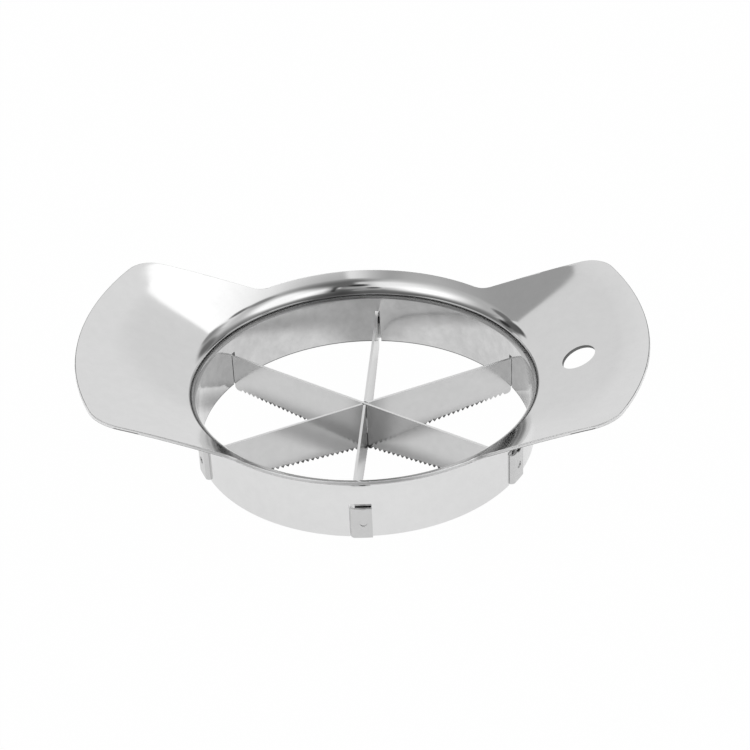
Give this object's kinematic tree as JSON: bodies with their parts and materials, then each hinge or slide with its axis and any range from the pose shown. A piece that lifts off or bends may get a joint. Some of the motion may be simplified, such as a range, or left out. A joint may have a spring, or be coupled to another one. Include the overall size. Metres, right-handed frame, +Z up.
{
  "type": "orange cutter",
  "caption": "Pressed steel citrus cutter: a short ring under a shallow winged dish, crossed by serrated blades that split a fruit pressed down through it.",
  "frame": {"origin": "on the axis of the ring, level with the blades' lowest point, at their crossing", "axes": "+X along the wings, towards the wing with the hanging hole; +Y towards the rear of the ring in the picture; +Z up, along the ring's axis"},
  "size_m": [0.157, 0.1052, 0.0377],
  "materials": {
    "body_steel": "polished stainless steel sheet",
    "blade_steel": "cut from fine brushed stainless strip",
    "weld_steel": "resistance weld, darkened"
  },
  "bodies": {
    "root": {"body": "body_steel", "cross_blade": "blade_steel", "left_blade": "blade_steel", "right_blade": "blade_steel", "spot_welds": "weld_steel"}
  },
  "joints": []
}
